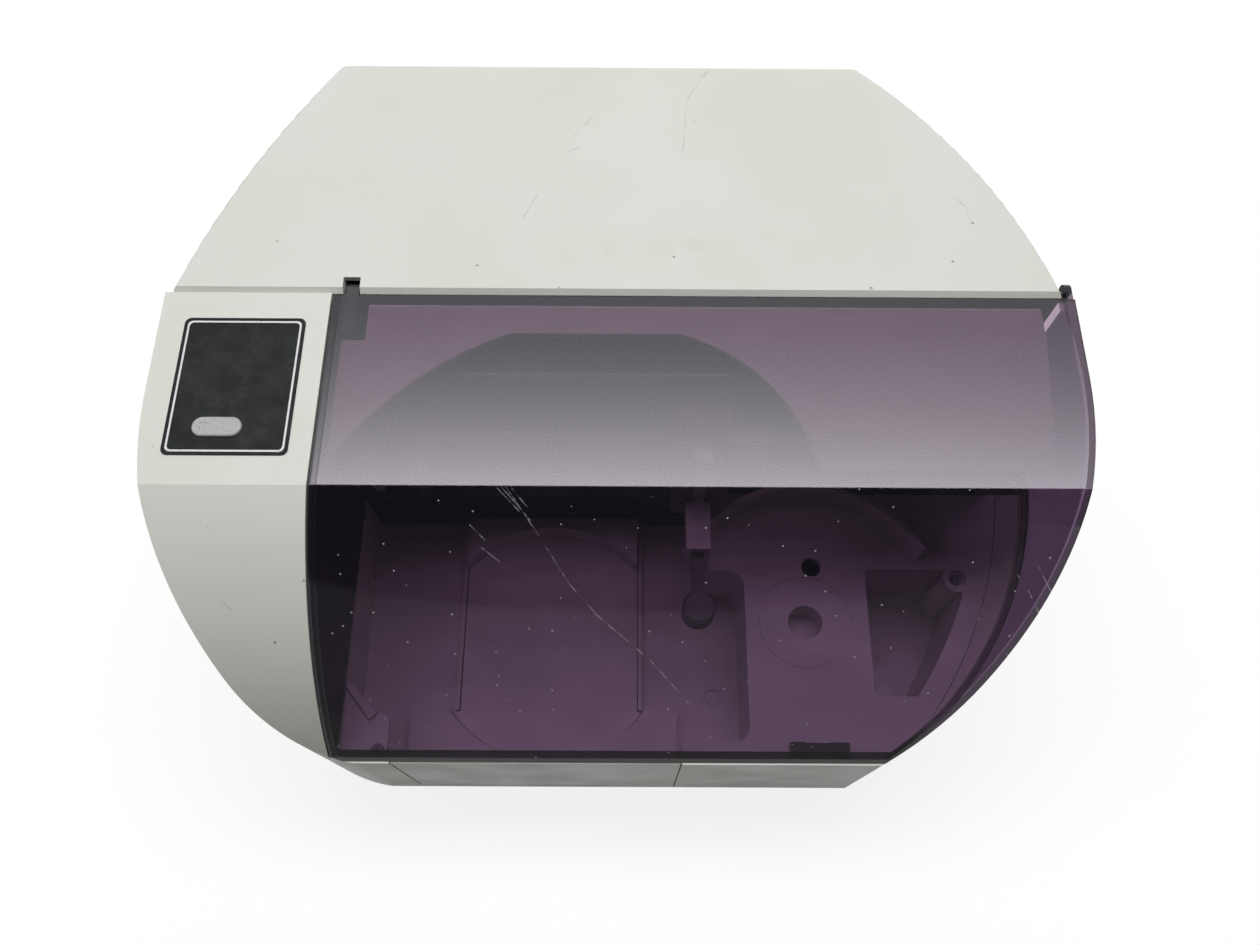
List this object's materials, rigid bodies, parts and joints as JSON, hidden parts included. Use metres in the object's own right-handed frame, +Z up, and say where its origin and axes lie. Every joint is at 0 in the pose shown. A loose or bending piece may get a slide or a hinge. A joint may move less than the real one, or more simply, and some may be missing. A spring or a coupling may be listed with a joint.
{
  "type": "disc label printer",
  "caption": "Home disc label printer with a hinged smoked cover, a sliding disc drawer, a disc picker arm, a print tray and an inkjet carriage in a low white casing.",
  "frame": {"origin": "middle of the footprint, on the plane the feet stand on", "axes": "+X to the right across the front, +Y to the back, +Z up"},
  "size_m": [0.424, 0.34, 0.1816],
  "materials": {
    "white_plastic": "fine satin grain",
    "smoked_plastic": "clear smoked, gloss front, frosted top",
    "black_plastic": "satin",
    "silver_plastic": "silver paint",
    "dark_lens": "gloss",
    "circuit_board": "solder mask",
    "board_part": "satin",
    "plated_steel": "zinc plated",
    "polished_steel": "ground",
    "grey_plastic": "satin",
    "pulley_plastic": "moulded",
    "motor_steel": "plated",
    "rubber": "matt",
    "cartridge_plastic": "gloss"
  },
  "bodies": {
    "casing": {"base_housing": "white_plastic", "bottom_pan": "plated_steel", "rubber_feet": "rubber", "case_screws": "polished_steel", "left_cheek": "white_plastic", "label_plate": "black_plastic", "top_shell": "white_plastic", "button_board": "circuit_board", "hinge_pins": "polished_steel", "cover_latch": "black_plastic", "bin_floor": "white_plastic", "disc_platform": "white_plastic", "bin_guide": "white_plastic", "deck_screws": "polished_steel", "front_gusset": "white_plastic", "drawer_rails": "white_plastic", "chassis_plate": "plated_steel", "left_side_frame": "plated_steel", "right_side_frame": "plated_steel", "belt_beam": "plated_steel", "inner_deck": "white_plastic", "tray_rails": "black_plastic", "tray_motor": "motor_steel", "picker_rods": "polished_steel", "picker_brackets": "black_plastic", "picker_motor": "motor_steel", "picker_belt": "rubber", "carriage_shafts": "polished_steel", "print_belt": "rubber", "print_motor": "motor_steel", "service_station": "black_plastic", "capping_pad": "rubber", "controller_board": "circuit_board", "board_parts": "board_part", "usb_port": "plated_steel", "power_jack": "board_part"},
    "cover": {"smoked_cover": "smoked_plastic", "hinge_arm": "black_plastic"},
    "drawer": {"disc_drawer": "white_plastic", "drawer_front": "white_plastic"},
    "button": {"power_button": "silver_plastic", "button_lens": "dark_lens"},
    "tray": {"print_tray": "black_plastic"},
    "tray_drive": {"tray_roller": "rubber"},
    "picker": {"picker_carriage": "grey_plastic", "lift_motor": "motor_steel"},
    "picker_lift": {"picker_arm": "grey_plastic", "gripper_head": "black_plastic"},
    "lift_drive": {"lift_roller": "rubber"},
    "finger_1": {"grip_finger_1": "grey_plastic"},
    "finger_2": {"grip_finger_2": "grey_plastic"},
    "finger_3": {"grip_finger_3": "grey_plastic"},
    "picker_drive": {"picker_drive_pulley": "pulley_plastic"},
    "picker_idler": {"picker_idler_pulley": "pulley_plastic"},
    "carriage": {"print_carriage": "grey_plastic", "ink_cartridge": "cartridge_plastic"},
    "carriage_drive": {"print_drive_pulley": "pulley_plastic"},
    "carriage_idler": {"print_idler_pulley": "pulley_plastic"}
  },
  "joints": [
    {"name": "cover_hinge", "type": "hinge", "parent": "casing", "child": "cover", "pos_m": [0, 0.037, 0.174], "axis": [-1, 0, 0], "range_deg": [0, 85]},
    {"name": "drawer_slide", "type": "slide", "parent": "casing", "child": "drawer", "axis": [0, -1, 0], "range_m": [0, 0.11]},
    {"name": "button_press", "type": "slide", "parent": "casing", "child": "button", "axis": [0, 0, -1], "range_m": [0, 0.0012], "stiffness_N_per_m": 300},
    {"name": "tray_slide", "type": "slide", "parent": "casing", "child": "tray", "axis": [0, -1, 0], "range_m": [0, 0.13]},
    {"name": "tray_roller_turn", "type": "hinge", "parent": "casing", "child": "tray_drive", "pos_m": [-0.0373, 0.003, 0.0907], "axis": [1, 0, 0], "continuous": true},
    {"name": "picker_slide", "type": "slide", "parent": "casing", "child": "picker", "axis": [1, 0, 0], "range_m": [-0.0751, 0.0544]},
    {"name": "picker_drive_turn", "type": "hinge", "parent": "casing", "child": "picker_drive", "pos_m": [-0.0963, -0.015, 0.135], "axis": [0, 1, 0], "continuous": true},
    {"name": "picker_idler_turn", "type": "hinge", "parent": "casing", "child": "picker_idler", "pos_m": [0.124, -0.015, 0.135], "axis": [0, 1, 0], "continuous": true},
    {"name": "picker_lift_slide", "type": "slide", "parent": "picker", "child": "picker_lift", "axis": [0, 0, 1], "range_m": [-0.05, 0]},
    {"name": "lift_roller_turn", "type": "hinge", "parent": "picker", "child": "lift_drive", "pos_m": [0.0378, -0.0367, 0.16], "axis": [1, 0, 0], "continuous": true},
    {"name": "finger_1_slide", "type": "slide", "parent": "picker_lift", "child": "finger_1", "axis": [0, 1, 0], "range_m": [0, 0.0009]},
    {"name": "finger_2_slide", "type": "slide", "parent": "picker_lift", "child": "finger_2", "axis": [-0.866, -0.5, 0], "range_m": [0, 0.0009]},
    {"name": "finger_3_slide", "type": "slide", "parent": "picker_lift", "child": "finger_3", "axis": [0.866, -0.5, 0], "range_m": [0, 0.0009]},
    {"name": "carriage_slide", "type": "slide", "parent": "casing", "child": "carriage", "axis": [1, 0, 0], "range_m": [-0.226, 0]},
    {"name": "carriage_drive_turn", "type": "hinge", "parent": "casing", "child": "carriage_drive", "pos_m": [-0.118, 0.0605, 0.15], "axis": [0, 1, 0], "continuous": true},
    {"name": "carriage_idler_turn", "type": "hinge", "parent": "casing", "child": "carriage_idler", "pos_m": [0.168, 0.0605, 0.15], "axis": [0, 1, 0], "continuous": true}
  ],
  "couplings": [
    {"joint": "tray_roller_turn", "follows": "tray_slide", "rad_per_m": 200},
    {"joint": "picker_drive_turn", "follows": "picker_slide", "rad_per_m": 166.67},
    {"joint": "picker_idler_turn", "follows": "picker_slide", "rad_per_m": 166.67},
    {"joint": "lift_roller_turn", "follows": "picker_lift_slide", "rad_per_m": -200},
    {"joint": "finger_2_slide", "follows": "finger_1_slide", "ratio": 1},
    {"joint": "finger_3_slide", "follows": "finger_1_slide", "ratio": 1},
    {"joint": "carriage_drive_turn", "follows": "carriage_slide", "rad_per_m": 166.67},
    {"joint": "carriage_idler_turn", "follows": "carriage_slide", "rad_per_m": 166.67}
  ]
}
